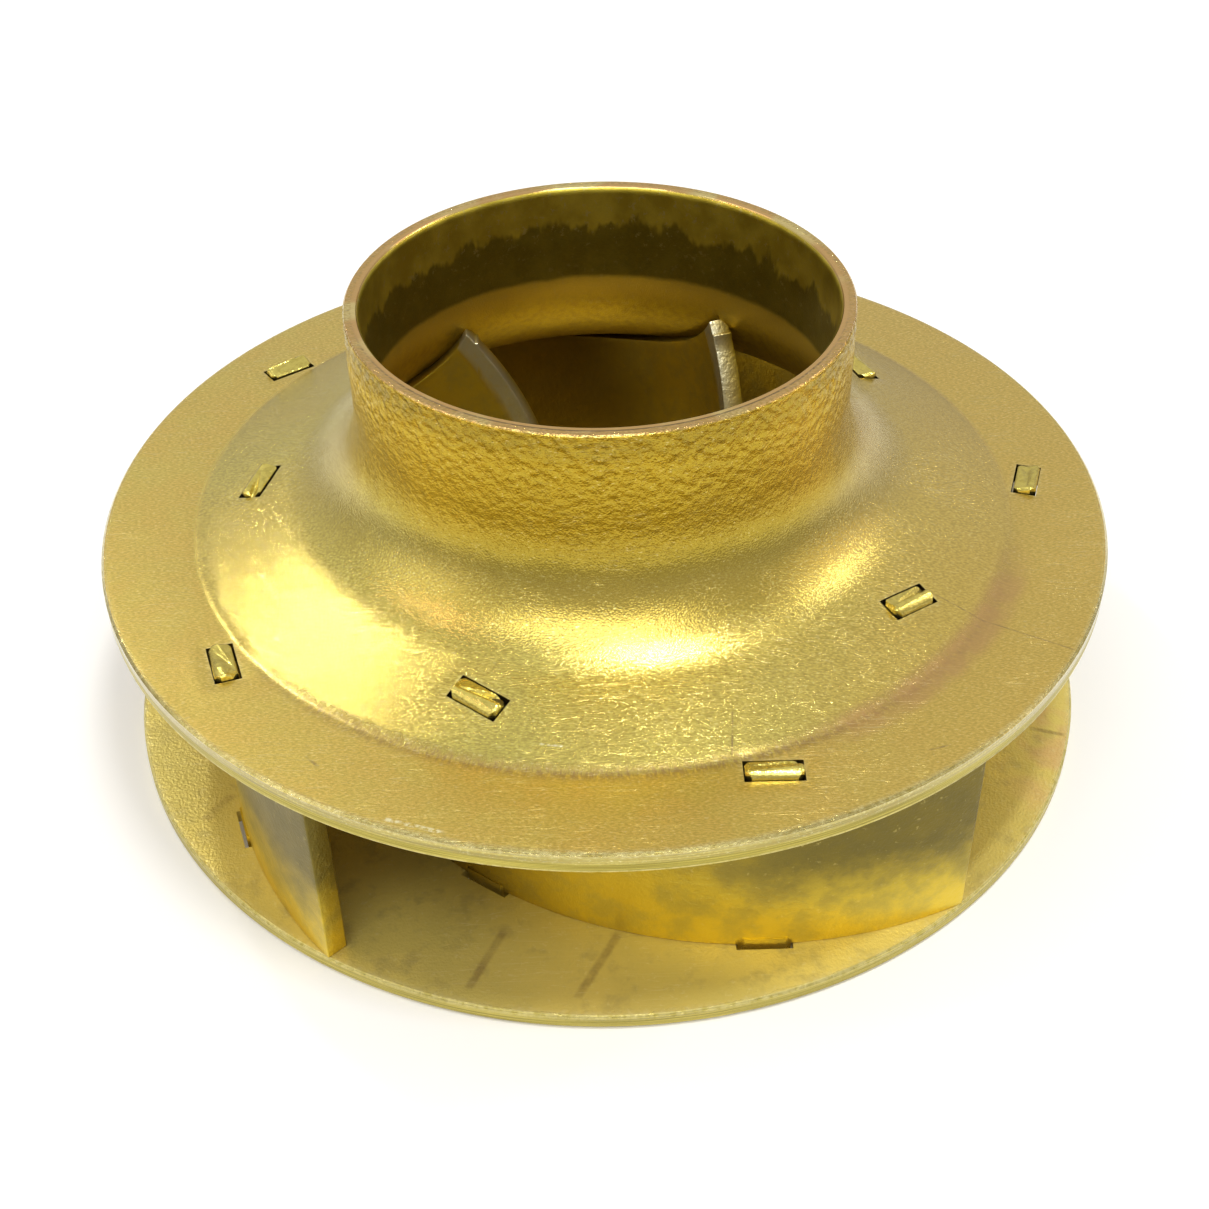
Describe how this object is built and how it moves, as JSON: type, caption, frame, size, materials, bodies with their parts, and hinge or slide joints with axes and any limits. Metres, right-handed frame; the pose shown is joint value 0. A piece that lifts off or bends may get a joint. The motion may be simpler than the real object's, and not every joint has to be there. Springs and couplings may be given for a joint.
{
  "type": "closed pump impeller",
  "caption": "Closed centrifugal pump impeller of fabricated brass sheet, with a drawn eye collar, staked curved vanes and a riveted keyed hub.",
  "frame": {"origin": "on the shaft axis, at the back plate's back face", "axes": "+Z along the shaft axis, from the back plate towards the eye collar; X and Y lie in the back face"},
  "size_m": [0.1334, 0.1334, 0.06],
  "materials": {
    "shroud_brass": "satin",
    "plate_brass": "satin",
    "vane_brass": "satin",
    "hub_brass": "machined",
    "rivet_brass": "satin"
  },
  "bodies": {
    "root": {"front_shroud": "shroud_brass", "back_plate": "plate_brass", "vane_1": "vane_brass", "vane_2": "vane_brass", "vane_3": "vane_brass", "vane_4": "vane_brass", "vane_5": "vane_brass", "hub": "hub_brass", "hub_rivets": "rivet_brass"}
  },
  "joints": []
}
